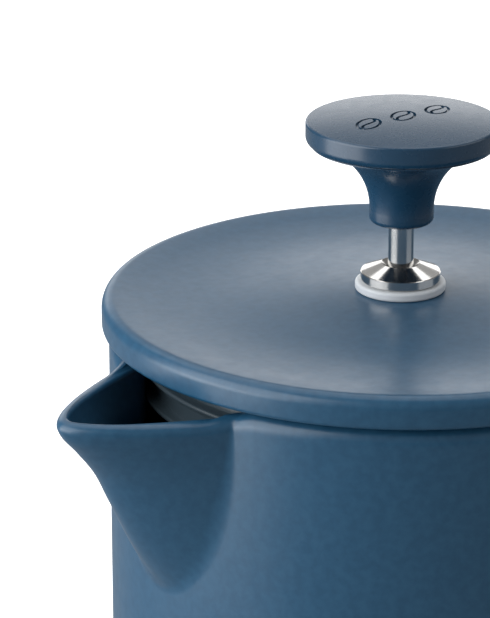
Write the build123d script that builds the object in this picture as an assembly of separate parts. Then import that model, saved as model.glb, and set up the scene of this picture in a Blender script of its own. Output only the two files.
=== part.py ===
from build123d import *
import math
import os

# Cafetiere (plunger coffee pot): a straight-sided glazed stoneware pot with a pulled spout and a loop
# handle, a stoneware lid with a finned silicone seal, and a plunger whose rod slides through a steel
# collar in the lid. Millimetres, +Z up, origin on the standing plane under the pot's centre.
# The spout points along -X and the handle along +X. The plunger is modelled pressed down.

# ---- pot ----
POT_R = 54.7  # outside of the wall
BORE_R = 49.1  # inside of the wall
RIM_Z = 172.0  # top of the wall
FLOOR_Z = 7.0  # inside floor
RIM_ROUND = 1.2  # outer edge of the rim and of the lip
BASE_ROUND = 3.5
FLOOR_ROUND = 5.0
FOOT_OUTER_R = 49.5  # unglazed foot ring, outer and inner radius
FOOT_INNER_R = 41.0
FOOT_RISE = 1.5  # height of the foot ring and depth of the recess inside it

# ---- spout, measured along its own outward axis ----
LIP_Z = 169.3  # top of the pouring lip
LIP_HALF_WIDTH = 18.4  # where the lip leaves the wall
LIP_THICKNESS = 2.8
CREASE_ROUND = 1.5
DIP_HALF_WIDTH = 15.5  # the rim dips to the lip between these and DIP_END
DIP_END = 23.0
SPOUT_DROP = 38.0  # from the lip to where the keel runs out on the wall
# The keel is the spout's centre line, as (reach from the pot's axis, height below the lip).
KEEL = [
    (76.0, -4.0),
    (76.1, 0.6),
    (75.3, 2.9),
    (72.0, 6.9),
    (68.4, 11.6),
    (64.9, 18.4),
    (60.4, 27.4),
    (54.2, 38.0),
]
SPOUT_DEPTHS = [-4.0, 0.6, 2.9, 6.9, 11.6, 18.4, 27.4, 34.0, 37.6]  # sections of the outside
SECTION_POINTS = 7  # along each flank of a spout section
FLANK_POWER = 0.62  # 0.5 would be a parabola, 1 a straight-sided V
CHANNEL_HALF_WIDTH = 15.2
CHANNEL_DROP = 35.0  # depth below the lip at which the channel opens from the bore
CHANNEL_DEPTHS = [-4.0, 0.6, 2.9, 6.9, 11.6, 18.4, 26.0, 31.0, 34.6]
WALL_OVERLAP = 0.3  # how far the outside reaches into the wall, so that the two join

# ---- handle, in the XZ plane ----
HANDLE_WIDTH = 19.0
HANDLE_THICKNESS = 9.6
HANDLE_CORNER_R = 4.4  # rounding of the strap's section
HANDLE_TOP_Z = 148.0
HANDLE_BOTTOM_Z = 48.0
HANDLE_ROOT_RISE = 6.0  # the lower root sits this much above the loop's lowest run
HANDLE_ROOT_DEPTH = 3.0  # start of the sweep inside the wall, trimmed to the wall's face
HANDLE_REACH_TOP = 96.0
HANDLE_REACH_BOTTOM = 90.0
HANDLE_BEND_R = 26.0

# ---- lid ----
LID_R = 56.0
LID_BOTTOM_Z = 172.3
LID_EDGE_ROUND = 2.3  # between the top face and the side
CREST_Z = 178.2  # top of that rounding, the height of the raised rim
LID_HUB_Z = 178.9  # flat seat of the collar washer
LID_HUB_R = 9.5
TROUGH_R = 37.0  # lowest ring of the top face
TROUGH_Z = 177.2
LID_FOOT_ROUND = 1.4  # lower edge of the side
LID_HOLE_R = 5.0
LID_CEILING_Z = 173.4  # underside, inside the spigot
SPIGOT_R = 46.0
SPIGOT_INNER_R = 40.5
SPIGOT_BOTTOM_Z = 157.6
GROOVE_R = 44.3  # seat of the seal
GROOVE_TOP_Z = 168.6
GROOVE_BOTTOM_Z = 159.0
SPIGOT_CHAMFER = 0.8

# ---- seal ----
SEAL_INNER_R = 44.6
SEAL_BAND_R = 46.7
SEAL_TOP_Z = 168.3
SEAL_BOTTOM_Z = 159.3
FIN_R = 48.8
FIN_TIP_ZS = (165.6, 160.6)
FIN_ROOT = 1.1
FIN_TIP = 0.6
FIN_LIFT = 0.5  # tip above root

# ---- collar in the lid ----
WASHER_R = 8.5
WASHER_THICKNESS = 1.7
COLLAR_R = 7.5
COLLAR_SIDE = 1.9
COLLAR_MOUTH_R = 3.54
COLLAR_TOP_Z = 184.0
COLLAR_THROAT_R = 2.75
COLLAR_SLEEVE_R = 4.5
COLLAR_BORE_R = 3.27
COLLAR_SHOULDER_Z = 182.2  # top of the guide bush's pocket
NUT_ACROSS_FLATS = 14.0
NUT_TOP_Z = 172.2
NUT_HEIGHT = 5.0
NUT_LIP = 1.0
UNDER_WASHER_R = 8.4
BUSH_R = 3.2
BUSH_BORE_R = 2.46

# ---- rod and knob ----
ROD_R = 2.4
THREAD_R = 1.95
THREAD_HOLE_R = 2.0
ROD_SHOULDER_Z = 16.4
ROD_NECK_Z = 197.0  # upper shoulder, under the insert
ROD_TOP_Z = 206.0
ROD_CHAMFER = 0.4
ROD_CLEARANCE = 0.03  # round the rod in the spreader's sleeve
THREAD_CLEARANCE = 0.05  # round the thread in the plates
KNOB_BOTTOM_Z = 192.1
NECK_R = 6.0
FLARE_START_Z = 194.75
FLARE_R = 12.4
FLARE_END_R = 17.0
CAP_R = 18.0
CAP_BOTTOM_Z = 207.3
CAP_EDGE_Z = 211.6
CAP_TOP_Z = 212.5
CAP_RECESS_R = 13.0
CAP_RECESS_Z = 209.0
CAP_GAP = 0.1  # between the cap's recess and the stem's spigot
EMBLEM_DEPTH = 0.4
BEAN_PLACES = (-8.0, 0.0, 8.0)  # along X
BEAN_TURN = 35.0  # degrees
BEAN_LENGTH = 6.8
BEAN_WIDTH = 4.6
BEAN_LINE = 0.55
INSERT_R = 3.6
INSERT_WAIST_R = 3.1
INSERT_LOW_Z = 197.2
INSERT_TOP_Z = 206.4

# ---- filter pack, from the bottom up ----
HUB_NUT_BOTTOM_Z = 8.3
HUB_NUT_AF = 10.0
CROSS_Z = 13.3
CROSS_THICKNESS = 0.8
CROSS_R = 45.0
CROSS_RIM_DROP = 2.2
CROSS_ARM_WIDTH = 9.0
CROSS_WINDOW_R = (11.0, 39.0)  # inner and outer radius of the four windows
SCREEN_Z = 14.7
SCREEN_THICKNESS = 0.4
SCREEN_R = 48.7
SCREEN_RIM_Z = 18.4
EYELET_R = 5.4
EYELET_HOLE_R = 4.0
SPREADER_Z = 15.8
SPREADER_THICKNESS = 0.6
SPREADER_R = 44.0
SPREADER_RIM_Z = 19.0
SPREADER_HOLE_R = 2.6
SPREADER_HOLE_RINGS = ((16.0, 6), (27.0, 10), (37.0, 14))  # ring radius, number of holes
COIL_RING_R = 46.15
COIL_R = 2.0  # outside of the coil itself
HUB_SLEEVE_R = 4.6
HUB_SLEEVE_FLANGE = 1.4
HUB_SLEEVE_TOP_Z = 24.0


def revolved(*edges):
    """A solid of revolution about Z from a closed outline of edges in the XZ plane."""
    return revolve(make_face(Wire(list(edges))), Axis.Z)


def outline(points):
    """A solid of revolution from straight runs between (radius, height) points."""
    corners = [(r, 0, z) for r, z in points]
    return revolve(make_face(Polyline(*corners, close=True)), Axis.Z)


def tube(outer, inner, low, high):
    return outline([(inner, low), (outer, low), (outer, high), (inner, high)])


def disc(radius, low, high):
    return outline([(0, low), (radius, low), (radius, high), (0, high)])


def smooth_keel(depth):
    """The keel's reach at a depth below the lip, from a spline through KEEL."""
    line = Spline(*[(reach, 0, -below) for reach, below in KEEL])
    low, high = 0.0, 1.0
    for _ in range(40):
        middle = (low + high) / 2
        if -(line @ middle).Z < depth:
            low = middle
        else:
            high = middle
    return (line @ low).X


def half_width(depth, width, drop):
    """Half the width where a spout section meets the wall: a half ellipse that closes at the drop."""
    share = min(max(depth, 0.0) / drop, 0.995)
    return width * math.sqrt(1 - share * share)


def spout_section(depth, nose, width, wall_r, back_x):
    """A closed horizontal section of the spout, pointing along -X, at a depth below the lip."""
    root = math.sqrt(wall_r**2 - width**2)
    steps = [i / SECTION_POINTS for i in range(SECTION_POINTS + 1)]
    flank = []
    for step in steps:
        share = 1 - (1 - step) ** 2
        flank.append((root + (nose - root) * share, width * (1 - share) ** FLANK_POWER))
    z = LIP_Z - depth
    upper = [(-x, y, z) for x, y in flank]
    lower = [(-x, -y, z) for x, y in reversed(flank[:-1])]
    front = Spline(*upper, *lower)
    back = Polyline(lower[-1], (-back_x, -width, z), (-back_x, width, z), upper[0])
    return make_face(Wire([*front.edges(), *back.edges()]))


def spout_outer():
    """The spout's outside as a loft down its keel, reaching well into the wall."""
    sections = []
    for depth in SPOUT_DEPTHS:
        width = half_width(depth, LIP_HALF_WIDTH, SPOUT_DROP)
        sections.append(spout_section(depth, smooth_keel(depth), width, POT_R - WALL_OVERLAP, 35.0))
    return loft(sections)


def spout_channel():
    """The spout's inside, which opens through the wall into the bore."""
    sections = []
    for depth in CHANNEL_DEPTHS:
        width = half_width(depth, CHANNEL_HALF_WIDTH, CHANNEL_DROP)
        thickening = 1.0 + 0.5 * max(depth, 0.0) / CHANNEL_DROP
        nose = smooth_keel(depth) - LIP_THICKNESS * thickening
        sections.append(spout_section(depth, nose, width, BORE_R + 1.5, 30.0))
    return loft(sections)


def rim_cut():
    """Everything above the rim, dipping in an S-curve on each side to the lip over the spout."""
    x = -38.0
    top = RIM_Z + 20
    low = Line((x, -DIP_HALF_WIDTH, LIP_Z), (x, DIP_HALF_WIDTH, LIP_Z))
    along = (0, 1, 0)
    rise = Spline((x, DIP_HALF_WIDTH, LIP_Z), (x, DIP_END, RIM_Z), tangents=[along, along])
    fall = Spline((x, -DIP_END, RIM_Z), (x, -DIP_HALF_WIDTH, LIP_Z), tangents=[along, along])
    rest = Polyline((x, DIP_END, RIM_Z), (x, DIP_END, top), (x, -DIP_END, top), (x, -DIP_END, RIM_Z))
    side = make_face(Wire([*low.edges(), *rise.edges(), *rest.edges(), *fall.edges()]))
    return extrude(side, amount=60, dir=(-1, 0, 0)) + Pos(0, 0, RIM_Z + 10) * Box(240, 160, 20)


def spout_crease(pot):
    """The long edge where the spout's outside meets the wall."""
    return [e for e in pot.edges() if e.length > 60 and e.bounding_box().max.X < -50 and e.center().Z < RIM_Z]


def outer_rim(pot):
    """The outer edges of the rim and the lip."""
    chosen = []
    for edge in pot.edges():
        box = edge.bounding_box()
        middle = edge @ 0.5
        on_top = box.min.Z > LIP_Z - 0.3
        outside = math.hypot(middle.X, middle.Y) > BORE_R + 2.4
        inner_lip = -74 < box.min.X < -72
        if on_top and outside and not inner_lip and edge.geom_type != GeomType.LINE:
            chosen.append(edge)
    return chosen


def pot_body():
    outside = outline([
        (0, FOOT_RISE),
        (FOOT_INNER_R, FOOT_RISE),
        (FOOT_INNER_R, 0),
        (FOOT_OUTER_R, 0),
        (FOOT_OUTER_R, FOOT_RISE),
        (POT_R, FOOT_RISE),
        (POT_R, RIM_Z),
        (0, RIM_Z),
    ])
    wide_circles = [e for e in outside.edges().filter_by(GeomType.CIRCLE) if e.radius > POT_R - 0.01]
    outside = fillet([e for e in wide_circles if e.center().Z < 5], BASE_ROUND)
    bore = disc(BORE_R, FLOOR_Z, RIM_Z + 5)
    bore_edge = bore.edges().filter_by(GeomType.CIRCLE).sort_by(Axis.Z)[0]
    bore = fillet(bore_edge, FLOOR_ROUND)
    pot = outside + spout_outer()
    pot = pot - bore - spout_channel() - rim_cut()
    pot = fillet(spout_crease(pot), CREASE_ROUND)
    return fillet(outer_rim(pot), RIM_ROUND)


def handle():
    """A D-shaped loop with a rounded section, ending on the pot's wall."""
    start_x = POT_R - HANDLE_ROOT_DEPTH
    path = FilletPolyline(
        (start_x, 0, HANDLE_TOP_Z),
        (HANDLE_REACH_TOP, 0, HANDLE_TOP_Z),
        (HANDLE_REACH_BOTTOM, 0, HANDLE_BOTTOM_Z),
        (start_x, 0, HANDLE_BOTTOM_Z + HANDLE_ROOT_RISE),
        radius=HANDLE_BEND_R,
    )
    plane = Plane(origin=(start_x, 0, HANDLE_TOP_Z), x_dir=(0, 1, 0), z_dir=(1, 0, 0))
    section = plane * RectangleRounded(HANDLE_WIDTH, HANDLE_THICKNESS, HANDLE_CORNER_R)
    loop = sweep(section, path=path)
    return loop - disc(POT_R, 0, RIM_Z)


def lid():
    """The lid: a top face that dips between hub and rounded rim, and a spigot with the seal's groove."""
    crest_r = LID_R - LID_EDGE_ROUND
    edge_centre_z = CREST_Z - LID_EDGE_ROUND
    diagonal = LID_EDGE_ROUND * math.sqrt(0.5)
    foot_r = LID_R - LID_FOOT_ROUND
    foot_diagonal = LID_FOOT_ROUND * (1 - math.sqrt(0.5))
    hub = Line((LID_HOLE_R, 0, LID_HUB_Z), (LID_HUB_R, 0, LID_HUB_Z))
    top = Spline(
        (LID_HUB_R, 0, LID_HUB_Z),
        (20.0, 0, 178.02),
        (TROUGH_R, 0, TROUGH_Z),
        (47.0, 0, 177.62),
        (crest_r, 0, CREST_Z),
        tangents=[(1, 0, -0.05), (1, 0, 0)],
    )
    edge = ThreePointArc(
        (crest_r, 0, CREST_Z), (crest_r + diagonal, 0, edge_centre_z + diagonal), (LID_R, 0, edge_centre_z)
    )
    side = Line((LID_R, 0, edge_centre_z), (LID_R, 0, LID_BOTTOM_Z + LID_FOOT_ROUND))
    foot = ThreePointArc(
        (LID_R, 0, LID_BOTTOM_Z + LID_FOOT_ROUND),
        (LID_R - foot_diagonal, 0, LID_BOTTOM_Z + foot_diagonal),
        (foot_r, 0, LID_BOTTOM_Z),
    )
    spigot = Polyline(*[(r, 0, z) for r, z in [
        (foot_r, LID_BOTTOM_Z),
        (SPIGOT_R, LID_BOTTOM_Z),
        (SPIGOT_R, GROOVE_TOP_Z),
        (GROOVE_R, GROOVE_TOP_Z),
        (GROOVE_R, GROOVE_BOTTOM_Z),
        (SPIGOT_R - 0.4, GROOVE_BOTTOM_Z),
        (SPIGOT_R - SPIGOT_CHAMFER, SPIGOT_BOTTOM_Z),
        (SPIGOT_INNER_R + SPIGOT_CHAMFER, SPIGOT_BOTTOM_Z),
        (SPIGOT_INNER_R, SPIGOT_BOTTOM_Z + SPIGOT_CHAMFER),
        (SPIGOT_INNER_R, LID_CEILING_Z),
        (LID_HOLE_R, LID_CEILING_Z),
        (LID_HOLE_R, LID_HUB_Z),
    ]])
    edges = []
    for run in (hub, top, edge, side, foot, spigot):
        edges.extend(run.edges())
    return revolved(*edges)


def lid_seal():
    """A silicone band with two thin upturned fins."""
    band = tube(SEAL_BAND_R, SEAL_INNER_R, SEAL_BOTTOM_Z, SEAL_TOP_Z)
    for tip_z in FIN_TIP_ZS:
        root_z = tip_z - FIN_LIFT
        band = band + outline([
            (SEAL_BAND_R - 0.3, root_z - FIN_ROOT / 2),
            (FIN_R - 0.15, tip_z - FIN_TIP / 2),
            (FIN_R, tip_z - FIN_TIP / 4),
            (FIN_R, tip_z + FIN_TIP / 4),
            (FIN_R - 0.15, tip_z + FIN_TIP / 2),
            (SEAL_BAND_R - 0.3, root_z + FIN_ROOT / 2),
        ])
    return band


def collar():
    """Turned collar: a coned flange on the washer and a sleeve through the lid that houses the bush."""
    flange_bottom = LID_HUB_Z + WASHER_THICKNESS
    edge_z = flange_bottom + COLLAR_SIDE
    throat_z = COLLAR_TOP_Z - (COLLAR_MOUTH_R - COLLAR_THROAT_R) - 0.1
    return outline([
        (COLLAR_MOUTH_R, COLLAR_TOP_Z - 0.1),
        (COLLAR_MOUTH_R + 0.1, COLLAR_TOP_Z),
        (COLLAR_R - 0.12, edge_z),
        (COLLAR_R, edge_z - 0.12),
        (COLLAR_R, flange_bottom + 0.3),
        (COLLAR_R - 0.3, flange_bottom),
        (COLLAR_SLEEVE_R, flange_bottom),
        (COLLAR_SLEEVE_R, NUT_TOP_Z - NUT_HEIGHT + NUT_LIP + 0.2),
        (COLLAR_BORE_R, NUT_TOP_Z - NUT_HEIGHT + NUT_LIP + 0.2),
        (COLLAR_BORE_R, COLLAR_SHOULDER_Z),
        (COLLAR_THROAT_R, COLLAR_SHOULDER_Z),
        (COLLAR_THROAT_R, throat_z),
    ])


def collar_washer():
    ring = tube(WASHER_R, COLLAR_SLEEVE_R + 0.1, LID_HUB_Z, LID_HUB_Z + WASHER_THICKNESS)
    return fillet([e for e in ring.edges().filter_by(GeomType.CIRCLE) if e.radius > WASHER_R - 0.01], 0.5)


def under_washer():
    return tube(UNDER_WASHER_R, COLLAR_SLEEVE_R + 0.1, NUT_TOP_Z, LID_CEILING_Z)


def collar_nut():
    """Hexagonal nut under the lid, with a lip that keeps the guide bush in the sleeve."""
    bottom = NUT_TOP_Z - NUT_HEIGHT
    prism = extrude(RegularPolygon(NUT_ACROSS_FLATS / 2, 6, major_radius=False), NUT_HEIGHT)
    prism = Pos(0, 0, bottom) * prism
    corner_cone = outline([(0, bottom), (6.6, bottom), (8.3, bottom + 1.0), (8.3, NUT_TOP_Z), (0, NUT_TOP_Z)])
    prism = prism & corner_cone
    prism = prism - disc(COLLAR_SLEEVE_R + 0.03, bottom + NUT_LIP, NUT_TOP_Z)
    return prism - disc(COLLAR_THROAT_R, bottom, NUT_TOP_Z)


def guide_bush():
    low = NUT_TOP_Z - NUT_HEIGHT + NUT_LIP + 0.2
    high = COLLAR_SHOULDER_Z - 0.2
    return tube(BUSH_R, BUSH_BORE_R, low, high)


def rod():
    """Plunger rod, turned down at both ends for the threads."""
    low = HUB_NUT_BOTTOM_Z + 1.2
    return outline([
        (0, low),
        (THREAD_R - ROD_CHAMFER, low),
        (THREAD_R, low + ROD_CHAMFER),
        (THREAD_R, ROD_SHOULDER_Z),
        (ROD_R, ROD_SHOULDER_Z),
        (ROD_R, ROD_NECK_Z),
        (THREAD_R, ROD_NECK_Z),
        (THREAD_R, ROD_TOP_Z - ROD_CHAMFER),
        (THREAD_R - ROD_CHAMFER, ROD_TOP_Z),
        (0, ROD_TOP_Z),
    ])


def flare_z(radius):
    """Height of the stem's flare at a radius: an arc tangent to the neck."""
    across = NECK_R + FLARE_R - radius
    return FLARE_START_Z + math.sqrt(FLARE_R**2 - across**2)


def knob_stem():
    """Trumpet-shaped lower half of the knob, hollow for the insert."""
    mouth_r = ROD_R + 0.1
    spigot_r = CAP_RECESS_R - CAP_GAP
    spigot_z = CAP_RECESS_Z - CAP_GAP
    flare_end_z = flare_z(FLARE_END_R)
    middle_r = 9.0
    edges = [
        Line((mouth_r, 0, KNOB_BOTTOM_Z), (NECK_R - 1.0, 0, KNOB_BOTTOM_Z)),
        ThreePointArc(
            (NECK_R - 1.0, 0, KNOB_BOTTOM_Z),
            (NECK_R - 0.3, 0, KNOB_BOTTOM_Z + 0.3),
            (NECK_R, 0, KNOB_BOTTOM_Z + 1.0),
        ),
        Line((NECK_R, 0, KNOB_BOTTOM_Z + 1.0), (NECK_R, 0, FLARE_START_Z)),
        ThreePointArc(
            (NECK_R, 0, FLARE_START_Z), (middle_r, 0, flare_z(middle_r)), (FLARE_END_R, 0, flare_end_z)
        ),
    ]
    inside = Polyline(*[(r, 0, z) for r, z in [
        (FLARE_END_R, flare_end_z),
        (FLARE_END_R, CAP_BOTTOM_Z - 0.02),
        (spigot_r, CAP_BOTTOM_Z - 0.02),
        (spigot_r, spigot_z),
        (INSERT_R, spigot_z),
        (INSERT_R, INSERT_LOW_Z),
        (mouth_r, INSERT_LOW_Z),
        (mouth_r, KNOB_BOTTOM_Z),
    ]])
    return revolved(*[e for run in edges for e in run.edges()], *inside.edges())


def knob_cap():
    """Disc that closes the knob, with a row of three shallow coffee beans sunk into its top."""
    edges = [
        Line((CAP_RECESS_R, 0, CAP_BOTTOM_Z), (CAP_R - 1.3, 0, CAP_BOTTOM_Z)),
        ThreePointArc(
            (CAP_R - 1.3, 0, CAP_BOTTOM_Z),
            (CAP_R - 0.36, 0, CAP_BOTTOM_Z + 0.44),
            (CAP_R, 0, CAP_BOTTOM_Z + 1.4),
        ),
        Line((CAP_R, 0, CAP_BOTTOM_Z + 1.4), (CAP_R, 0, CAP_EDGE_Z - 0.5)),
        ThreePointArc(
            (CAP_R, 0, CAP_EDGE_Z - 0.5), (CAP_R - 0.16, 0, CAP_EDGE_Z - 0.14), (CAP_R - 0.55, 0, CAP_EDGE_Z)
        ),
        Spline((CAP_R - 0.55, 0, CAP_EDGE_Z), (0, 0, CAP_TOP_Z), tangents=[(-1, 0, 0.11), (-1, 0, 0)]),
    ]
    inside = Polyline(
        (0, 0, CAP_TOP_Z),
        (0, 0, CAP_RECESS_Z),
        (CAP_RECESS_R, 0, CAP_RECESS_Z),
        (CAP_RECESS_R, 0, CAP_BOTTOM_Z),
    )
    cap = revolved(*[e for run in edges for e in run.edges()], *inside.edges())
    return cap - emblem()


def emblem():
    """Cutters for a row of coffee beans, each an oval groove with an S-shaped crease along it."""
    half_length, half_width = BEAN_LENGTH / 2, BEAN_WIDTH / 2
    oval = Ellipse(half_length, half_width) - Ellipse(half_length - BEAN_LINE, half_width - BEAN_LINE)
    end, bow = half_length - BEAN_LINE, BEAN_WIDTH / 8
    crease = Spline((-end, 0, 0), (-end / 2, bow, 0), (0, 0, 0), (end / 2, -bow, 0), (end, 0, 0))
    bean = oval + trace(crease, line_width=BEAN_LINE)
    cutters = []
    for x in BEAN_PLACES:
        fall = (CAP_TOP_Z - CAP_EDGE_Z) * (x / CAP_R) ** 2
        place = Pos(x, 0, CAP_TOP_Z - fall - EMBLEM_DEPTH) * Rot(0, 0, BEAN_TURN)
        cutters.append(place * extrude(bean, 2))
    return cutters


def knob_insert():
    """Threaded brass insert with two knurled bands, moulded into the stem."""
    return outline([
        (THREAD_HOLE_R, INSERT_LOW_Z),
        (INSERT_R, INSERT_LOW_Z),
        (INSERT_R, INSERT_LOW_Z + 3.2),
        (INSERT_WAIST_R, INSERT_LOW_Z + 3.5),
        (INSERT_WAIST_R, INSERT_LOW_Z + 5.4),
        (INSERT_R, INSERT_LOW_Z + 5.7),
        (INSERT_R, INSERT_TOP_Z),
        (THREAD_HOLE_R, INSERT_TOP_Z),
    ])


def hub_nut():
    """Hexagonal cap nut with a rounded end that clamps the filter pack."""
    prism = extrude(RegularPolygon(HUB_NUT_AF / 2, 6, major_radius=False), CROSS_Z - HUB_NUT_BOTTOM_Z)
    prism = Pos(0, 0, HUB_NUT_BOTTOM_Z) * prism
    dome = outline([
        (0, HUB_NUT_BOTTOM_Z),
        (3.6, HUB_NUT_BOTTOM_Z),
        (5.0, HUB_NUT_BOTTOM_Z + 0.9),
        (6.0, HUB_NUT_BOTTOM_Z + 2.4),
        (6.0, CROSS_Z),
        (0, CROSS_Z),
    ])
    return (prism & dome) - disc(THREAD_HOLE_R, HUB_NUT_BOTTOM_Z + 1.0, CROSS_Z)


def cross_plate():
    """Stamped plate under the screen: a hub and a turned-down rim joined by four arms."""
    top = CROSS_Z + CROSS_THICKNESS
    plate = tube(CROSS_R, THREAD_HOLE_R + THREAD_CLEARANCE, CROSS_Z, top)
    plate = plate + tube(CROSS_R, CROSS_R - CROSS_THICKNESS, CROSS_Z - CROSS_RIM_DROP, CROSS_Z)
    window = tube(CROSS_WINDOW_R[1], CROSS_WINDOW_R[0], CROSS_Z - 1, top + 1)
    arm = Pos(0, 0, CROSS_Z + CROSS_THICKNESS / 2) * Box(2 * CROSS_R, CROSS_ARM_WIDTH, 6)
    window = window - arm - Rot(0, 0, 90) * arm
    return plate - window


def filter_screen():
    """Fine woven screen with its edge turned up, made as a thin cup."""
    wall = SCREEN_THICKNESS
    flat_r = SCREEN_R - 0.9
    return outline([
        (EYELET_HOLE_R, SCREEN_Z),
        (flat_r, SCREEN_Z),
        (SCREEN_R - 0.1, SCREEN_Z + 0.9),
        (SCREEN_R, SCREEN_RIM_Z),
        (SCREEN_R - wall, SCREEN_RIM_Z),
        (SCREEN_R - wall - 0.1, SCREEN_Z + 1.1),
        (flat_r - 0.2, SCREEN_Z + wall),
        (EYELET_HOLE_R, SCREEN_Z + wall),
    ])


def screen_eyelet():
    """Crimped ring that binds the screen's centre hole."""
    low, high = CROSS_Z + CROSS_THICKNESS, SPREADER_Z
    return outline([
        (THREAD_HOLE_R + THREAD_CLEARANCE, low),
        (EYELET_R, low),
        (EYELET_R, SCREEN_Z),
        (EYELET_HOLE_R - 0.05, SCREEN_Z),
        (EYELET_HOLE_R - 0.05, SCREEN_Z + SCREEN_THICKNESS),
        (EYELET_R, SCREEN_Z + SCREEN_THICKNESS),
        (EYELET_R, high),
        (THREAD_HOLE_R + THREAD_CLEARANCE, high),
    ])


def spreader_plate():
    """Perforated plate above the screen, with an upturned rim that carries the coil."""
    top = SPREADER_Z + SPREADER_THICKNESS
    plate = outline([
        (THREAD_HOLE_R + THREAD_CLEARANCE, SPREADER_Z),
        (SPREADER_R - 0.7, SPREADER_Z),
        (SPREADER_R, SPREADER_Z + 0.7),
        (SPREADER_R, SPREADER_RIM_Z),
        (SPREADER_R - SPREADER_THICKNESS, SPREADER_RIM_Z),
        (SPREADER_R - SPREADER_THICKNESS, SPREADER_Z + 0.95),
        (SPREADER_R - 0.95, top),
        (THREAD_HOLE_R + THREAD_CLEARANCE, top),
    ])
    hole = Cylinder(SPREADER_HOLE_R, 6)
    for ring_r, count in SPREADER_HOLE_RINGS:
        plate = plate - [Pos(0, 0, SPREADER_Z) * loc * hole for loc in PolarLocations(ring_r, count)]
    return plate


def spreader_hub():
    """Sleeve welded to the spreader plate, which steadies the rod."""
    low = SPREADER_Z + SPREADER_THICKNESS
    return outline([
        (ROD_R + ROD_CLEARANCE, low),
        (HUB_SLEEVE_R + HUB_SLEEVE_FLANGE, low),
        (HUB_SLEEVE_R + HUB_SLEEVE_FLANGE, low + 0.8),
        (HUB_SLEEVE_R, low + 0.8),
        (HUB_SLEEVE_R, HUB_SLEEVE_TOP_Z - 0.5),
        (HUB_SLEEVE_R - 0.5, HUB_SLEEVE_TOP_Z),
        (ROD_R + ROD_CLEARANCE, HUB_SLEEVE_TOP_Z),
    ])


def spring_coil():
    """Outer shape of the garter spring that presses the screen's edge against the wall."""
    centre_z = SCREEN_Z + SCREEN_THICKNESS + COIL_R + 0.05
    return Pos(0, 0, centre_z) * Torus(COIL_RING_R, COIL_R)


PARTS = {
    "pot_body": pot_body,
    "handle": handle,
    "lid": lid,
    "lid_seal": lid_seal,
    "collar": collar,
    "collar_washer": collar_washer,
    "under_washer": under_washer,
    "collar_nut": collar_nut,
    "guide_bush": guide_bush,
    "rod": rod,
    "knob_stem": knob_stem,
    "knob_cap": knob_cap,
    "knob_insert": knob_insert,
    "hub_nut": hub_nut,
    "cross_plate": cross_plate,
    "filter_screen": filter_screen,
    "screen_eyelet": screen_eyelet,
    "spreader_plate": spreader_plate,
    "spreader_hub": spreader_hub,
    "spring_coil": spring_coil,
}

os.makedirs("parts", exist_ok=True)
for name, build in PARTS.items():
    export_step(build(), f"parts/{name}.step")
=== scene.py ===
"""Looks for a stoneware cafetiere: its glazed pot, lid, seal, plunger and filter, around the CAD frame.

Lengths are written in millimetres and multiplied by MM where they reach Blender, which works in metres.
The spout points along -X and the handle along +X. +Z is up and the pot stands on z = 0.
"""

import math

import bmesh
import bpy
import numpy as np
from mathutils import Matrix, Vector

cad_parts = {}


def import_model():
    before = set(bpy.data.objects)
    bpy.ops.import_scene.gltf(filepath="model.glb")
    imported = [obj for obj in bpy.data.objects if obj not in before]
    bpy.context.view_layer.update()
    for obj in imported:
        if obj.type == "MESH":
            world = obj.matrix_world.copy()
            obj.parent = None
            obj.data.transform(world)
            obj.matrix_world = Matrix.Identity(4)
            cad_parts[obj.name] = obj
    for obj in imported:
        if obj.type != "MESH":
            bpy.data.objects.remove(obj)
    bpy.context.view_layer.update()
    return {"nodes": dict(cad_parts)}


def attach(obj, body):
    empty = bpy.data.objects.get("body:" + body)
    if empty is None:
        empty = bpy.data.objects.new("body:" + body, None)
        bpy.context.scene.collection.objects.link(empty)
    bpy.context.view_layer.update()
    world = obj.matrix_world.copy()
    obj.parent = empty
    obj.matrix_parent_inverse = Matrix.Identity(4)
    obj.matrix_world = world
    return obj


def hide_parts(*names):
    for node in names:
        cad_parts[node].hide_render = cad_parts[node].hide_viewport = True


MM = 0.001

# ---- pot ----
POT_R = 54.7
BORE_R = 49.1
RIM_Z = 172.0
LIP_Z = 169.3
DIP_HALF_WIDTH = 14.5  # the rim dips to the lip between these two distances from the spout's plane
DIP_END = 23.0
RIM_ROUND = 3.2  # outer edge of the rim
LIP_ROUND = 2.1  # outer edge of the lip
INNER_ROUND = 0.7  # inner edge of both
FLOOR_Z = 7.0
FLOOR_ROUND = 5.0
BASE_ROUND = 3.5
FOOT_RISE = 1.5
FOOT_OUTER_R = 49.5
FOOT_INNER_R = 41.0
FOOT_BEVEL = 0.5
FOOT_ROWS = 7  # rows of faces at the foot that are bare clay

# ---- spout ----
# The keel is the spout's centre line, as (depth below the lip, reach from the pot's axis).
KEEL = [
    (-4.0, 76.2),
    (0.6, 76.2),
    (2.9, 75.3),
    (6.9, 72.0),
    (11.6, 68.4),
    (18.4, 64.9),
    (27.4, 60.4),
    (38.0, 54.2),
]
SPOUT_DROP = 38.0  # from the lip to where the keel runs out on the wall
SPOUT_HALF_WIDTH = 18.4  # where the lip leaves the wall
SPOUT_OVERLAP = 0.3  # how far the spout's roots lie inside the wall's face
FLANK_POWER = 0.62  # 0.5 would be a parabola, 1 a straight-sided V
NOSE_SOFTNESS = 1.2  # rounding of the keel's point
ROOT_SLOPE = 0.9  # past its roots the spout's outline dives into the wall at least this steeply
CREASE_BLEND_TOP = 0.35  # the crease beside the spout is crisp at the rim
CREASE_BLEND_MIDDLE = 1.5  # and softer halfway down
LIP_THICKNESS = 2.8
THICKENING = 0.4  # share by which the spout's wall is thicker at the keel's lower end
CHANNEL_HALF_WIDTH = 15.2
CHANNEL_DROP = 35.0
CHANNEL_BLEND = 3.0
CHANNEL_ROOT_OFFSET = 1.5  # how far outside the bore's face the channel's roots lie
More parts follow.
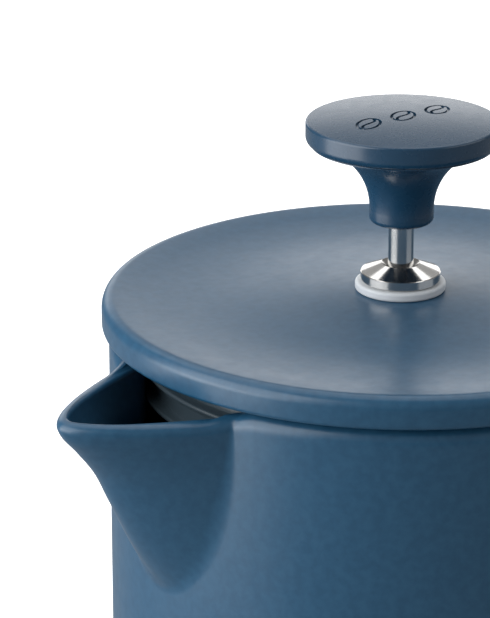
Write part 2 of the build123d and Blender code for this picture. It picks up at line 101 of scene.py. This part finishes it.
BLEND_MARGIN = 3.0  # the close rows of vertices start this far below where the spout runs out
FINE_SPAN = 24.0  # degrees each side of the spout with closely spaced columns
FINE_STEP = 0.18
SEARCH_RANGE = (20.0, 90.0)  # radii between which the spout's outline is looked for
SEARCH_STEPS = 36

# ---- handle ----
HANDLE_HALF_WIDTH = 9.5
HANDLE_HALF_THICKNESS = 4.8
HANDLE_BEND_R = 26.0
HANDLE_CORNERS = [(51.7, 148.0), (96.0, 148.0), (90.0, 48.0), (51.7, 54.0)]
HANDLE_ROOT_FLARE = 0.34  # extra size where the handle is luted to the wall
HANDLE_ROOT_REACH = 9.0
HANDLE_ROOT_FALL = 2.2  # the flare shrinks by this power of e over the reach
HANDLE_SQUARENESS = 0.72  # 1 would be an oval section, 0 a rectangle

# ---- lid ----
LID_R = 56.0
LID_HOLE_R = 5.0
LID_SIDE_TOP_Z = 175.9
LID_SIDE_LOW_Z = 175.0
LID_EDGE_ROUND = 2.3
LID_FOOT_Z = 172.3
LID_FOOT_ROUND = 0.9
LID_CEILING_Z = 173.4
HUB_R = 9.5
HUB_Z = 178.9
# The top face between the hub and the edge's rounding, as (radius, height).
LID_TOP = [
    (14.0, 178.55),
    (20.0, 178.02),
    (26.0, 177.6),
    (31.0, 177.32),
    (37.0, 177.2),
    (42.0, 177.33),
    (47.0, 177.62),
    (51.0, 177.98),
]
SPIGOT_R = 46.0
SPIGOT_INNER_R = 40.5
SPIGOT_BOTTOM_Z = 157.6
SPIGOT_CHAMFER = 0.8
GROOVE_R = 44.3
GROOVE_TOP_Z = 168.6
GROOVE_BOTTOM_Z = 159.0

# ---- seal ----
SEAL_INNER_R = 44.6
SEAL_BAND_R = 46.7
SEAL_BOTTOM_Z = 159.3
SEAL_TOP_Z = 168.3
SEAL_BEVEL = 0.2
FIN_TIP_ZS = (161.2, 166.4)
FIN_TIP_R = 48.25  # centre of the fin's rounded tip
FIN_TIP_ROUND = 0.55
FIN_LIFT = 0.3  # tip above root

# ---- garter spring ----
SPRING_RING_R = 46.15
SPRING_COIL_R = 1.75
SPRING_WIRE_R = 0.25
SPRING_Z = 17.15
SPRING_TURNS = 150
POINTS_PER_TURN = 14
WIRE_SIDES = 7

SEGMENTS = 256  # round a full turn of the lathed pieces
CAMERA_SIDE = (-0.62, -0.78)  # roughly the direction from the pot to the camera, in plan


# ---------------------------------------------------------------- mesh helpers


def object_from(name, vertices, faces, material_indices=None):
    """A smooth-shaded mesh object from vertices in millimetres."""
    mesh = bpy.data.meshes.new(name)
    mesh.from_pydata([tuple(c * MM for c in v) for v in vertices], [], faces)
    mesh.validate()
    mesh.polygons.foreach_set("use_smooth", [True] * len(mesh.polygons))
    if material_indices is not None:
        mesh.polygons.foreach_set("material_index", material_indices)
    mesh.update()
    piece = bpy.data.objects.new(name, mesh)
    bpy.context.scene.collection.objects.link(piece)
    return piece


def sharpen(piece, degrees):
    """Marks the edges sharper than an angle, so that shading breaks there."""
    work = bmesh.new()
    work.from_mesh(piece.data)
    limit = math.radians(degrees)
    for edge in work.edges:
        edge.smooth = len(edge.link_faces) != 2 or edge.calc_face_angle(0.0) < limit
    work.to_mesh(piece.data)
    work.free()


def grid_faces(rows, columns, closed=True, start=0):
    """Quads between successive rows of vertices, joined round the loop when closed."""
    faces = []
    last = columns if closed else columns - 1
    for row in range(rows - 1):
        for column in range(last):
            a = start + row * columns + column
            b = start + row * columns + (column + 1) % columns
            faces.append((a, b, b + columns, a + columns))
    return faces


def lathe(name, profile, segments=SEGMENTS, sharp=None):
    """A closed solid of revolution about Z from (radius, height) points in anticlockwise order."""
    rows = len(profile)
    angles = np.arange(segments) * 2 * math.pi / segments
    vertices = []
    starts = []
    for radius, height in profile:
        starts.append(len(vertices))
        if radius < 1e-6:
            vertices.append((0.0, 0.0, height))
        else:
            vertices.extend((radius * math.cos(a), radius * math.sin(a), height) for a in angles)
    faces = []
    pairs = [(i, (i + 1) % rows) for i in range(rows)]
    for i, j in pairs:
        pole_i, pole_j = profile[i][0] < 1e-6, profile[j][0] < 1e-6
        if pole_i and pole_j:
            continue
        for k in range(segments):
            n = (k + 1) % segments
            if pole_i:
                faces.append((starts[i], starts[j] + n, starts[j] + k))
            elif pole_j:
                faces.append((starts[i] + k, starts[i] + n, starts[j]))
            else:
                faces.append((starts[i] + k, starts[i] + n, starts[j] + n, starts[j] + k))
    piece = object_from(name, vertices, faces)
    if sharp:
        sharpen(piece, sharp)
    return piece


def arc(centre, radius, start, end, steps):
    """Points on an arc in the (radius, height) plane, angles in degrees from the outward direction."""
    angles = np.radians(np.linspace(start, end, steps + 1))
    return [(centre[0] + radius * math.cos(a), centre[1] + radius * math.sin(a)) for a in angles]


def smooth_curve(points, x):
    """A smooth curve y(x) through (x, y) points, by cubic pieces with averaged slopes."""
    xs = np.array([p[0] for p in points])
    ys = np.array([p[1] for p in points])
    slopes = np.gradient(ys, xs)
    x = np.clip(x, xs[0], xs[-1])
    i = np.clip(np.searchsorted(xs, x) - 1, 0, len(xs) - 2)
    h = xs[i + 1] - xs[i]
    t = (x - xs[i]) / h
    return (
        (2 * t**3 - 3 * t**2 + 1) * ys[i]
        + (t**3 - 2 * t**2 + t) * h * slopes[i]
        + (-2 * t**3 + 3 * t**2) * ys[i + 1]
        + (t**3 - t**2) * h * slopes[i + 1]
    )


def smooth_step(t):
    t = np.clip(t, 0.0, 1.0)
    return t * t * (3 - 2 * t)


# ---------------------------------------------------------------- pot


def smooth_max(a, b, blend):
    """The larger of two radii, with a fillet where they cross."""
    near = np.maximum(blend - np.abs(a - b), 0.0) / blend
    return np.maximum(a, b) + near * near * blend / 4


def spout_radius(angle, z, keel_inset, half_width, drop, wall_r):
    """Distance from the pot's axis to the spout's plan outline, at angles from the spout's direction."""
    depth = LIP_Z - z
    share = np.clip(depth / drop, 0.0, 0.999)
    width = half_width * np.sqrt(1 - share**2)
    nose = smooth_curve(KEEL, depth) - keel_inset * (1 + THICKENING * share)
    root = np.sqrt(wall_r**2 - width**2)
    power = 0.5 / FLANK_POWER
    soft = NOSE_SOFTNESS**2
    full = (width**2 + soft) ** power - soft**power
    low = np.full(np.broadcast(angle, z).shape, SEARCH_RANGE[0])
    high = np.full(low.shape, SEARCH_RANGE[1])
    for _ in range(SEARCH_STEPS):
        middle = (low + high) / 2
        side = middle * np.abs(np.sin(angle))
        fall = ((side**2 + soft) ** power - soft**power) / full
        inset = (nose - root) * (fall - 1)
        inset = np.where(side > width, np.maximum(inset, ROOT_SLOPE * (side - width)), inset)
        beyond = middle * np.cos(angle) > root - inset
        high = np.where(beyond, middle, high)
        low = np.where(beyond, low, middle)
    stands_out = (np.cos(angle) > 0.5) & (nose > root + 0.05)
    return np.where(stands_out, (low + high) / 2, 0.0)


def outer_radius(angle, z):
    spout = spout_radius(angle, z, 0.0, SPOUT_HALF_WIDTH, SPOUT_DROP, POT_R - SPOUT_OVERLAP)
    share = np.clip((LIP_Z - z) / SPOUT_DROP, 0.0, 1.0)
    softening = 4 * share * (1 - share)
    blend = CREASE_BLEND_TOP + (CREASE_BLEND_MIDDLE - CREASE_BLEND_TOP) * softening
    return smooth_max(POT_R, spout, blend)


def inner_radius(angle, z):
    root_r = BORE_R + CHANNEL_ROOT_OFFSET
    channel = spout_radius(angle, z, LIP_THICKNESS, CHANNEL_HALF_WIDTH, CHANNEL_DROP, root_r)
    return smooth_max(BORE_R, channel, CHANNEL_BLEND)


def pot_angles():
    """Angles round the pot from the spout's direction: close together over the spout."""
    fine = np.radians(np.arange(-FINE_SPAN, FINE_SPAN, FINE_STEP))
    coarse = np.radians(np.linspace(FINE_SPAN, 360.0 - FINE_SPAN, 180, endpoint=False))
    return np.concatenate([fine, coarse])


def plan_offset(radius, angle, offset):
    """Points (x, y) on a closed plan curve, moved towards the axis side of the curve by an offset."""
    x = radius * np.cos(angle)
    y = radius * np.sin(angle)
    dx = np.roll(x, -1, axis=-1) - np.roll(x, 1, axis=-1)
    dy = np.roll(y, -1, axis=-1) - np.roll(y, 1, axis=-1)
    length = np.hypot(dx, dy)
    return x - offset * dy / length, y + offset * dx / length


def pot_rows():
    """The pot's rows of vertices, from the foot up the outside, over the rim and down the inside."""
    angle = pot_angles()
    side = np.where(np.cos(angle) > 0, POT_R * np.abs(np.sin(angle)), POT_R)
    rise = smooth_step((side - DIP_HALF_WIDTH) / (DIP_END - DIP_HALF_WIDTH))
    top = LIP_Z + (RIM_Z - LIP_Z) * rise
    outer_round = LIP_ROUND + (RIM_ROUND - LIP_ROUND) * rise
    rows = []

    def add(surface, z, offset):
        z = np.broadcast_to(np.asarray(z, float), angle.shape)
        x, y = plan_offset(surface(angle, z), angle, offset)
        rows.append(np.stack([-x, -y, z], axis=-1))

    def ring(radius, z):
        height = np.full(angle.shape, z)
        rows.append(np.stack([-radius * np.cos(angle), -radius * np.sin(angle), height], axis=-1))

    ring(FOOT_INNER_R - FOOT_BEVEL, FOOT_RISE)
    ring(FOOT_INNER_R, FOOT_RISE - FOOT_BEVEL)
    ring(FOOT_INNER_R, FOOT_BEVEL)
    ring(FOOT_INNER_R + FOOT_BEVEL, 0.0)
    ring(FOOT_OUTER_R - FOOT_BEVEL, 0.0)
    ring(FOOT_OUTER_R, FOOT_BEVEL)
    ring(FOOT_OUTER_R, FOOT_RISE)
    for radius, z in arc((POT_R - BASE_ROUND, FOOT_RISE + BASE_ROUND), BASE_ROUND, -90, 0, 7):
        ring(radius, z)
    spout_end = LIP_Z - SPOUT_DROP - BLEND_MARGIN
    for z in np.linspace(FOOT_RISE + BASE_ROUND, spout_end, 16)[1:]:
        ring(POT_R, z)
    for share in np.linspace(0, 1, 90)[1:-1]:
        add(outer_radius, spout_end + (top - outer_round - spout_end) * share, 0.0)
    for t in np.radians(np.linspace(0, 90, 10)):
        add(outer_radius, top - outer_round * (1 - math.sin(t)), outer_round * (1 - math.cos(t)))
    for t in np.radians(np.linspace(90, 0, 9)):
        add(inner_radius, top - INNER_ROUND * (1 - math.sin(t)), -INNER_ROUND * (1 - math.cos(t)))
    channel_end = LIP_Z - CHANNEL_DROP - BLEND_MARGIN
    for share in np.linspace(1, 0, 80)[1:]:
        add(inner_radius, channel_end + (top - INNER_ROUND - channel_end) * share, 0.0)
    for z in np.linspace(channel_end, FLOOR_Z + FLOOR_ROUND, 14)[1:]:
        ring(BORE_R, z)
    for radius, z in arc((BORE_R - FLOOR_ROUND, FLOOR_Z + FLOOR_ROUND), FLOOR_ROUND, 0, -90, 7)[1:]:
        ring(radius, z)
    return rows


def pot_body():
    """The pot as one closed mesh, glazed but for its foot ring."""
    rows = pot_rows()
    columns = len(rows[0])
    vertices = np.concatenate(rows)
    faces = grid_faces(len(rows), columns)
    bare = [1 if i // columns < FOOT_ROWS else 0 for i in range(len(faces))]
    below, above = len(vertices), len(vertices) + 1
    vertices = np.concatenate([vertices, [(0, 0, FOOT_RISE), (0, 0, FLOOR_Z)]])
    last = (len(rows) - 1) * columns
    for k in range(columns):
        n = (k + 1) % columns
        faces.append((below, n, k))
        bare.append(0)
        faces.append((above, last + k, last + n))
        bare.append(0)
    piece = object_from("glazed_pot", vertices, faces, bare)
    sharpen(piece, 50)
    return piece


def rounded_path(corners, radius, step=1.0):
    """Evenly spaced points along straight runs joined by arcs, in the XZ plane."""
    points = [np.array(corners[0], float)]
    for before, corner, after in zip(corners, corners[1:], corners[2:]):
        before, corner, after = (np.array(p, float) for p in (before, corner, after))
        a = (before - corner) / np.linalg.norm(before - corner)
        b = (after - corner) / np.linalg.norm(after - corner)
        half = math.acos(np.clip(a @ b, -1, 1)) / 2
        reach = radius / math.tan(half)
        centre = corner + (a + b) / np.linalg.norm(a + b) * radius / math.sin(half)
        start, end = corner + a * reach, corner + b * reach
        turn = math.pi - 2 * half
        for t in np.linspace(0, 1, max(3, int(turn * radius / step))):
            from_centre = (start - centre) * math.sin((1 - t) * turn) + (end - centre) * math.sin(t * turn)
            points.append(centre + from_centre / math.sin(turn))
    points.append(np.array(corners[-1], float))
    dense = []
    for p, q in zip(points, points[1:]):
        count = int(math.ceil(np.linalg.norm(q - p) / step))
        dense.extend(p + (q - p) * k / count for k in range(count))
    dense.append(points[-1])
    return np.array(dense)


def handle():
    """A strap handle with a soft oval section that spreads where it is luted to the wall."""
    path = rounded_path(HANDLE_CORNERS, HANDLE_BEND_R)
    tangents = np.gradient(path, axis=0)
    tangents /= np.linalg.norm(tangents, axis=1)[:, None]
    turn = np.linspace(0, 2 * math.pi, 64, endpoint=False)
    across = np.sign(np.cos(turn)) * np.abs(np.cos(turn)) ** HANDLE_SQUARENESS
    through = np.sign(np.sin(turn)) * np.abs(np.sin(turn)) ** HANDLE_SQUARENESS
    vertices = []
    for point, tangent in zip(path, tangents):
        near_wall = math.exp(-max(point[0] - POT_R, 0.0) / HANDLE_ROOT_REACH * HANDLE_ROOT_FALL)
        grow = 1 + HANDLE_ROOT_FLARE * near_wall
        normal = np.array([-tangent[1], tangent[0]])
        for u, v in zip(across, through):
            offset = normal * v * HANDLE_HALF_THICKNESS * grow
            vertices.append((point[0] + offset[0], u * HANDLE_HALF_WIDTH * grow, point[1] + offset[1]))
    faces = grid_faces(len(path), len(turn))
    faces.append(tuple(range(len(turn)))[::-1])
    last = (len(path) - 1) * len(turn)
    faces.append(tuple(range(last, last + len(turn))))
    return object_from("glazed_handle", vertices, faces)


# ---------------------------------------------------------------- lid and seal


def lid():
    """The lid: its top dips between the hub and the rounded rim, so that light runs round it in bands."""
    edge_r = LID_R - LID_EDGE_ROUND
    shape = [(HUB_R, HUB_Z), *LID_TOP, (edge_r, LID_SIDE_TOP_Z + LID_EDGE_ROUND)]
    profile = [(LID_HOLE_R, HUB_Z)]
    profile += [(r, float(smooth_curve(shape, r))) for r in np.linspace(HUB_R, edge_r, 70)[:-1]]
    profile += arc((edge_r, LID_SIDE_TOP_Z), LID_EDGE_ROUND, 90, 0, 16)
    profile += [(LID_R, LID_SIDE_LOW_Z)]
    profile += arc((LID_R - LID_FOOT_ROUND, LID_FOOT_Z + LID_FOOT_ROUND), LID_FOOT_ROUND, 0, -90, 8)
    profile += [
        (SPIGOT_R, LID_FOOT_Z),
        (SPIGOT_R, GROOVE_TOP_Z),
        (GROOVE_R, GROOVE_TOP_Z),
        (GROOVE_R, GROOVE_BOTTOM_Z),
        (SPIGOT_R - SPIGOT_CHAMFER / 2, GROOVE_BOTTOM_Z),
        (SPIGOT_R - SPIGOT_CHAMFER, SPIGOT_BOTTOM_Z),
        (SPIGOT_INNER_R + SPIGOT_CHAMFER, SPIGOT_BOTTOM_Z),
        (SPIGOT_INNER_R, SPIGOT_BOTTOM_Z + SPIGOT_CHAMFER),
        (SPIGOT_INNER_R, LID_CEILING_Z),
        (LID_HOLE_R, LID_CEILING_Z),
    ]
    return lathe("glazed_lid", profile[::-1], sharp=35)


def lid_seal():
    """A silicone band with two round-tipped fins, drawn thick enough to show through the spout."""
    band_edge_r = SEAL_BAND_R - SEAL_BEVEL
    profile = [(SEAL_INNER_R, SEAL_BOTTOM_Z), (band_edge_r, SEAL_BOTTOM_Z)]
    profile += [(SEAL_BAND_R, SEAL_BOTTOM_Z + SEAL_BEVEL)]
    root_half, waist_half, waist_r = 1.0, 0.7, SEAL_BAND_R + 0.5
    for tip_z in FIN_TIP_ZS:
        root_z = tip_z - FIN_LIFT
        profile += [(SEAL_BAND_R, root_z - root_half), (waist_r, root_z - waist_half)]
        profile += [(FIN_TIP_R, tip_z - FIN_TIP_ROUND)]
        profile += arc((FIN_TIP_R, tip_z), FIN_TIP_ROUND, -80, 80, 8)
        profile += [(waist_r, root_z + waist_half), (SEAL_BAND_R, root_z + root_half)]
    profile += [(SEAL_BAND_R, SEAL_TOP_Z - SEAL_BEVEL)]
    profile += [(band_edge_r, SEAL_TOP_Z), (SEAL_INNER_R, SEAL_TOP_Z)]
    return lathe("silicone_seal", profile, sharp=50)


# ---------------------------------------------------------------- filter


def spring_coil():
    """A long thin helix wound round the screen, closed on itself."""
    count = SPRING_TURNS * POINTS_PER_TURN
    t = np.arange(count) * 2 * math.pi / count
    phase = t * SPRING_TURNS
    radius = SPRING_RING_R + SPRING_COIL_R * np.cos(phase)
    height = SPRING_Z + SPRING_COIL_R * np.sin(phase)
    centre = np.stack([radius * np.cos(t), radius * np.sin(t), height], axis=-1)
    tangent = np.roll(centre, -1, axis=0) - np.roll(centre, 1, axis=0)
    tangent /= np.linalg.norm(tangent, axis=1)[:, None]
    outward = np.stack([np.cos(phase) * np.cos(t), np.cos(phase) * np.sin(t), np.sin(phase)], axis=-1)
    outward -= tangent * np.sum(outward * tangent, axis=1)[:, None]
    outward /= np.linalg.norm(outward, axis=1)[:, None]
    sideways = np.cross(tangent, outward)
    vertices = []
    for k in range(WIRE_SIDES):
        a = 2 * math.pi * k / WIRE_SIDES
        vertices.append(centre + SPRING_WIRE_R * (outward * math.cos(a) + sideways * math.sin(a)))
    vertices = np.stack(vertices, axis=1).reshape(-1, 3)
    faces = grid_faces(count, WIRE_SIDES)
    last = (count - 1) * WIRE_SIDES
    for k in range(WIRE_SIDES):
        n = (k + 1) % WIRE_SIDES
        faces.append((last + k, last + n, n, k))
    return object_from("garter_spring", vertices, faces)


# ---------------------------------------------------------------- materials


def new_material(name):
    material = bpy.data.materials.new(name)
    material.use_nodes = True
    nodes = material.node_tree.nodes
    return material, nodes, material.node_tree.links, nodes["Principled BSDF"]


def noise(nodes, links, scale, detail=2.0, roughness=0.5, stretch=1.0):
    """A noise texture in object space, at a scale per metre, drawn out along Z by a stretch."""
    where = nodes.new("ShaderNodeTexCoord")
    squeeze = nodes.new("ShaderNodeVectorMath")
    squeeze.operation = "MULTIPLY"
    squeeze.inputs[1].default_value = (1.0, 1.0, 1.0 / stretch)
    texture = nodes.new("ShaderNodeTexNoise")
    texture.inputs["Scale"].default_value = scale
    texture.inputs["Detail"].default_value = detail
    texture.inputs["Roughness"].default_value = roughness
    links.new(where.outputs["Object"], squeeze.inputs[0])
    links.new(squeeze.outputs["Vector"], texture.inputs["Vector"])
    return texture.outputs["Fac"]


def ramp(nodes, links, source, stops):
    """A colour ramp from (position, colour) stops; a plain number is a grey."""
    node = nodes.new("ShaderNodeValToRGB")
    elements = node.color_ramp.elements
    while len(elements) < len(stops):
        elements.new(0.5)
    for element, (position, value) in zip(elements, stops):
        element.position = position
        element.color = (*value, 1.0) if isinstance(value, tuple) else (value, value, value, 1.0)
    links.new(source, node.inputs["Fac"])
    return node.outputs["Color"]


def bump(nodes, links, height, strength, distance):
    node = nodes.new("ShaderNodeBump")
    node.inputs["Strength"].default_value = strength
    node.inputs["Distance"].default_value = distance * MM
    links.new(height, node.inputs["Height"])
    return node.outputs["Normal"]


def blue_glaze():
    """Satin stoneware glaze: a deep blue with a fine speckle and a slightly uneven surface."""
    material, nodes, links, shader = new_material("blue_glaze")
    mottle = noise(nodes, links, 650, 2.0)
    tones = [(0.34, (0.0115, 0.058, 0.116)), (0.5, (0.0135, 0.064, 0.126)), (0.68, (0.0165, 0.071, 0.136))]
    links.new(ramp(nodes, links, mottle, tones), shader.inputs["Base Color"])
    rough = ramp(nodes, links, noise(nodes, links, 380, 2.0), [(0.3, 0.30), (0.7, 0.35)])
    links.new(rough, shader.inputs["Roughness"])
    shader.inputs["IOR"].default_value = 1.46
    links.new(bump(nodes, links, noise(nodes, links, 300, 0.0), 0.08, 0.10), shader.inputs["Normal"])
    return material


def bare_clay():
    """Unglazed buff stoneware on the foot ring."""
    material, nodes, links, shader = new_material("bare_clay")
    grain = noise(nodes, links, 1500, 4.0, 0.7)
    tones = [(0.3, (0.42, 0.36, 0.29)), (0.7, (0.58, 0.52, 0.44))]
    links.new(ramp(nodes, links, grain, tones), shader.inputs["Base Color"])
    shader.inputs["Roughness"].default_value = 0.85
    links.new(bump(nodes, links, grain, 0.5, 0.15), shader.inputs["Normal"])
    return material


def navy_plastic():
    """The knob's satin plastic, smoother and darker than the glaze."""
    material, nodes, links, shader = new_material("navy_plastic")
    cloud = noise(nodes, links, 500, 2.0)
    tones = [(0.3, (0.0072, 0.037, 0.077)), (0.7, (0.0086, 0.041, 0.084))]
    links.new(ramp(nodes, links, cloud, tones), shader.inputs["Base Color"])
    rough = ramp(nodes, links, noise(nodes, links, 400, 2.0), [(0.3, 0.25), (0.7, 0.29)])
    links.new(rough, shader.inputs["Roughness"])
    links.new(bump(nodes, links, noise(nodes, links, 260, 0.0), 0.04, 0.05), shader.inputs["Normal"])
    return material


def turning_marks(nodes, links):
    """Fine rings round the Z axis."""
    where = nodes.new("ShaderNodeTexCoord")
    wave = nodes.new("ShaderNodeTexWave")
    wave.wave_type = "RINGS"
    wave.rings_direction = "Z"
    wave.inputs["Scale"].default_value = 900
    wave.inputs["Distortion"].default_value = 0.6
    wave.inputs["Detail"].default_value = 3.0
    links.new(where.outputs["Object"], wave.inputs["Vector"])
    return wave.outputs["Fac"]


def steel(name, roughness, turned):
    """Stainless steel with faint marks, in rings round the Z axis when turned, otherwise along it."""
    material, nodes, links, shader = new_material(name)
    shader.inputs["Metallic"].default_value = 1.0
    marks = turning_marks(nodes, links) if turned else noise(nodes, links, 900, 2.0, stretch=30.0)
    tint = (0.66, 0.65, 0.63)
    shade = tuple(c * 0.94 for c in tint)
    links.new(ramp(nodes, links, marks, [(0.2, shade), (0.8, tint)]), shader.inputs["Base Color"])
    rough = ramp(nodes, links, marks, [(0.2, roughness * 0.9), (0.8, roughness * 1.1)])
    links.new(rough, shader.inputs["Roughness"])
    links.new(bump(nodes, links, marks, 0.03, 0.003), shader.inputs["Normal"])
    return material


def woven_steel():
    """Fine wire cloth: two sets of crossing wires a fraction of a millimetre apart."""
    material, nodes, links, shader = new_material("woven_steel")
    shader.inputs["Metallic"].default_value = 1.0
    where = nodes.new("ShaderNodeTexCoord")
    heights = []
    for direction in ("X", "Y"):
        wave = nodes.new("ShaderNodeTexWave")
        wave.bands_direction = direction
        wave.inputs["Scale"].default_value = 1 / (0.6 * MM) / 20
        links.new(where.outputs["Object"], wave.inputs["Vector"])
        heights.append(wave.outputs["Fac"])
    weave = nodes.new("ShaderNodeMath")
    weave.operation = "MULTIPLY"
    links.new(heights[0], weave.inputs[0])
    links.new(heights[1], weave.inputs[1])
    shade = ramp(nodes, links, weave.outputs[0], [(0.0, 0.18), (0.6, 0.62)])
    links.new(shade, shader.inputs["Base Color"])
    shader.inputs["Roughness"].default_value = 0.32
    links.new(bump(nodes, links, weave.outputs[0], 0.6, 0.1), shader.inputs["Normal"])
    return material


def milky(name, colour, transmission, roughness):
    """Translucent silicone or nylon."""
    material, nodes, links, shader = new_material(name)
    cloud = noise(nodes, links, 300, 3.0)
    dim = tuple(c * 0.93 for c in colour)
    links.new(ramp(nodes, links, cloud, [(0.3, dim), (0.7, colour)]), shader.inputs["Base Color"])
    shader.inputs["Transmission Weight"].default_value = transmission
    shader.inputs["IOR"].default_value = 1.42
    rough = ramp(nodes, links, noise(nodes, links, 1500, 2.0), [(0.3, roughness), (0.7, roughness + 0.08)])
    links.new(rough, shader.inputs["Roughness"])
    return material


def brass():
    """Machined brass, which only an opened knob would show."""
    material, nodes, links, shader = new_material("brass_insert")
    shader.inputs["Metallic"].default_value = 1.0
    marks = noise(nodes, links, 2500, 3.0)
    tones = [(0.3, (0.62, 0.44, 0.17)), (0.7, (0.78, 0.58, 0.26))]
    links.new(ramp(nodes, links, marks, tones), shader.inputs["Base Color"])
    shader.inputs["Roughness"].default_value = 0.3
    return material


def paint(piece, *materials):
    piece.data.materials.clear()
    for material in materials:
        piece.data.materials.append(material)


# ---------------------------------------------------------------- scene


def area_light(name, at, aim, size, watts):
    """A soft white light that the camera doesn't see, facing a point."""
    data = bpy.data.lights.new(name, "AREA")
    data.shape = "RECTANGLE"
    data.size, data.size_y = size
    data.energy = watts
    lamp = bpy.data.objects.new(name, data)
    lamp.location = at
    lamp.visible_camera = False
    lamp.rotation_euler = (Vector(aim) - Vector(at)).to_track_quat("-Z", "Y").to_euler()
    bpy.context.scene.collection.objects.link(lamp)


def camera():
    """The photograph's view: from above the rim, with the spout to the left and the pot right of centre."""
    data = bpy.data.cameras.new("camera")
    data.lens = 189.7
    data.sensor_width = 36.0
    data.clip_start = 0.01
    data.clip_end = 20.0
    view = bpy.data.objects.new("camera", data)
    pitch, heading = math.radians(19.68), math.radians(35.61)
    view.location = (-0.3590, -0.4513, 0.3807)
    view.rotation_euler = (math.pi / 2 - pitch, 0.0, -heading)
    bpy.context.scene.collection.objects.link(view)
    bpy.context.scene.camera = view


def studio_floor():
    """A plain floor, white to the camera and mid grey to all other rays, so that it bounces less light."""
    material, nodes, links, shader = new_material("floor_white")
    cloud = noise(nodes, links, 2.0, 2.0)
    links.new(ramp(nodes, links, cloud, [(0.3, 0.88), (0.7, 0.9)]), shader.inputs["Base Color"])
    shader.inputs["Roughness"].default_value = 0.9
    shader.inputs["Specular IOR Level"].default_value = 0.1
    shader.inputs["Emission Color"].default_value = (1.0, 1.0, 1.0, 1.0)
    shader.inputs["Emission Strength"].default_value = 0.62
    material.cycles.emission_sampling = "NONE"
    held_back = nodes.new("ShaderNodeBsdfDiffuse")
    held_back.inputs["Color"].default_value = (0.3, 0.3, 0.3, 1.0)
    light_path = nodes.new("ShaderNodeLightPath")
    mix = nodes.new("ShaderNodeMixShader")
    links.new(light_path.outputs["Is Camera Ray"], mix.inputs["Fac"])
    links.new(held_back.outputs["BSDF"], mix.inputs[1])
    links.new(shader.outputs["BSDF"], mix.inputs[2])
    links.new(mix.outputs["Shader"], nodes["Material Output"].inputs["Surface"])
    return material


def around(heading, distance, height):
    """A point at a heading in degrees to the left of the camera's side of the pot."""
    toward_camera = math.atan2(CAMERA_SIDE[1], CAMERA_SIDE[0])
    angle = toward_camera - math.radians(heading)
    return (distance * math.cos(angle), distance * math.sin(angle), height)


def surroundings():
    """A white world, brighter to the camera than to the rays that light the pot."""
    world = bpy.data.worlds.new("studio")
    world.use_nodes = True
    nodes, links = world.node_tree.nodes, world.node_tree.links
    background = nodes["Background"]
    background.inputs["Color"].default_value = (1.0, 1.0, 1.0, 1.0)
    seen = nodes.new("ShaderNodeLightPath").outputs["Is Camera Ray"]
    strength = nodes.new("ShaderNodeMapRange")
    strength.inputs["To Min"].default_value = 0.2
    strength.inputs["To Max"].default_value = 0.8
    links.new(seen, strength.inputs["Value"])
    links.new(strength.outputs["Result"], background.inputs["Strength"])
    bpy.context.scene.world = world


def studio():
    surroundings()
    bpy.ops.mesh.primitive_plane_add(size=12.0, location=(0, 0, 0))
    floor = bpy.context.object
    floor.name = "floor"
    paint(floor, studio_floor())
    pot = (0, 0, 0.14)
    area_light("backdrop", around(180, 1.6, 0.44), (0, 0, 0.44), (2.0, 0.56), 5.4)
    area_light("upper_backdrop", around(180, 1.6, 1.45), pot, (3.2, 1.5), 3.8)
    area_light("key", around(65, 1.35, 0.72), pot, (1.6, 1.5), 30)
    area_light("right_side", around(-80, 1.35, 0.55), pot, (1.4, 0.8), 5)
    area_light("overhead", around(180, 0.45, 1.5), pot, (2.4, 1.5), 16)
    area_light("front_fill", around(0, 2.2, 1.5), pot, (3.5, 2.2), 3)
    area_light("bounce_card", around(72, 0.44, 0.02), (-0.06, -0.02, 0.14), (0.45, 0.45), 2.1)
    scene = bpy.context.scene
    scene.view_settings.view_transform = "Standard"
    scene.view_settings.look = "None"


def main():
    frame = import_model()
    glaze = blue_glaze()
    nodes = frame["nodes"]

    def stand_in(piece, node, body, slot, *materials):
        paint(piece, *materials)
        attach(piece, body)
        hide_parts(node)

    stand_in(pot_body(), "pot_body", "pot", "blue_glaze", glaze, bare_clay())
    stand_in(handle(), "handle", "pot", "blue_glaze", glaze)
    stand_in(lid(), "lid", "lid_group", "blue_glaze", glaze)
    # The seal's colour is painted shade: a dark blue-grey that stands in for the shadow under the lid,
    # where the pale translucent silicone sits.
    silicone_with_painted_shade = milky("clear_silicone", (0.075, 0.112, 0.14), 0.3, 0.36)
    stand_in(lid_seal(), "lid_seal", "seal", "clear_silicone", silicone_with_painted_shade)
    wire = steel("spring_wire", 0.25, False)
    stand_in(spring_coil(), "spring_coil", "plunger", "woven_steel", wire)

    turned = steel("turned_steel", 0.12, True)
    polished = steel("polished_steel", 0.18, False)
    stamped = steel("stamped_steel", 0.28, False)
    washer = milky("white_washer", (0.66, 0.70, 0.74), 0.2, 0.34)
    navy = navy_plastic()
    finishes = {
        "collar": turned,
        "collar_nut": turned,
        "collar_washer": washer,
        "under_washer": washer,
        "guide_bush": washer,
        "rod": polished,
        "knob_stem": navy,
        "knob_cap": navy,
        "knob_insert": brass(),
        "hub_nut": polished,
        "spreader_hub": polished,
        "cross_plate": stamped,
        "screen_eyelet": stamped,
        "spreader_plate": stamped,
        "filter_screen": woven_steel(),
    }
    for name, material in finishes.items():
        paint(nodes[name], material)

    studio()
    camera()


main()
